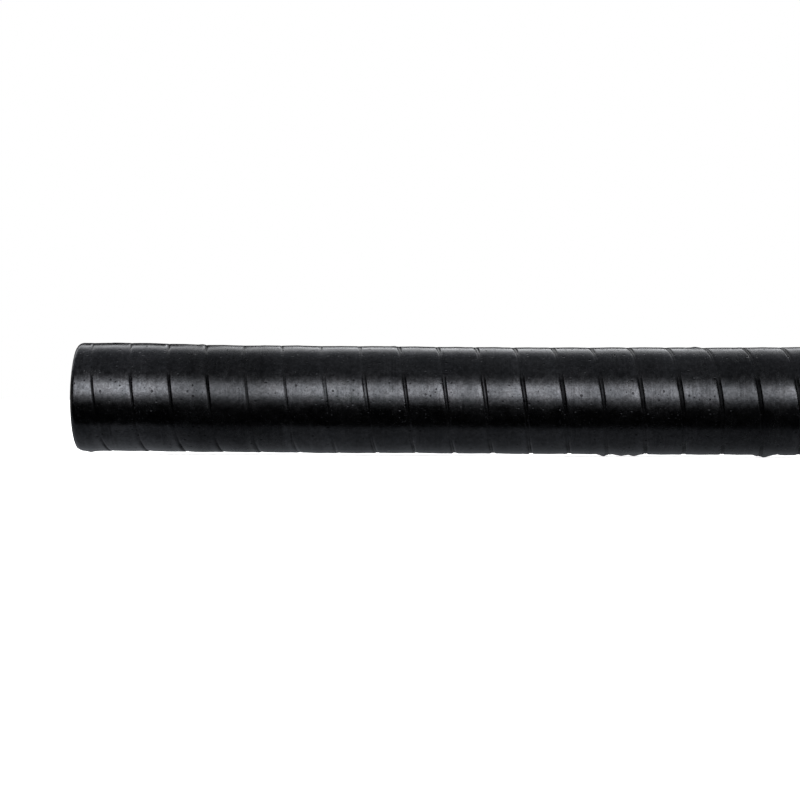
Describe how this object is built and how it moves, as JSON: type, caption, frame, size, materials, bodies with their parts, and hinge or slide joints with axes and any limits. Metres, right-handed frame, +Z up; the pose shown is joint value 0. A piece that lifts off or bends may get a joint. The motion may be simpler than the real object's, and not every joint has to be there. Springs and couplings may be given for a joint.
{
  "type": "devil stick",
  "caption": "Straight round juggling baton: a padded wooden core wound in a right-handed spiral of black rubber tape, each end closed by a rubber pad with a sunk screw.",
  "frame": {"origin": "on the stick's axis at half its length, which is its balance point", "axes": "+X along the stick, from the pictured end towards the other; +Z up as the stick lies on a table; -Y towards the camera of the picture"},
  "size_m": [0.64, 0.027, 0.027],
  "materials": {
    "dowel_wood": "sanded bare beech",
    "padding_rubber": "matt soft rubber",
    "inner_tape": "matt self-fusing tape",
    "outer_tape": "satin black self-fusing tape, handled smooth",
    "end_pad_rubber": "matt moulded black rubber",
    "washer_steel": "zinc-plated",
    "screw_steel": "zinc-plated"
  },
  "bodies": {
    "root": {"core_dowel": "dowel_wood", "padding_sleeve": "padding_rubber", "inner_tape_wrap": "inner_tape", "outer_tape_wrap": "outer_tape", "end_binding_left": "inner_tape", "end_binding_right": "inner_tape", "end_pad_left": "end_pad_rubber", "end_pad_right": "end_pad_rubber", "pad_washer_left": "washer_steel", "pad_washer_right": "washer_steel", "pad_screw_left": "screw_steel", "pad_screw_right": "screw_steel"}
  },
  "joints": []
}
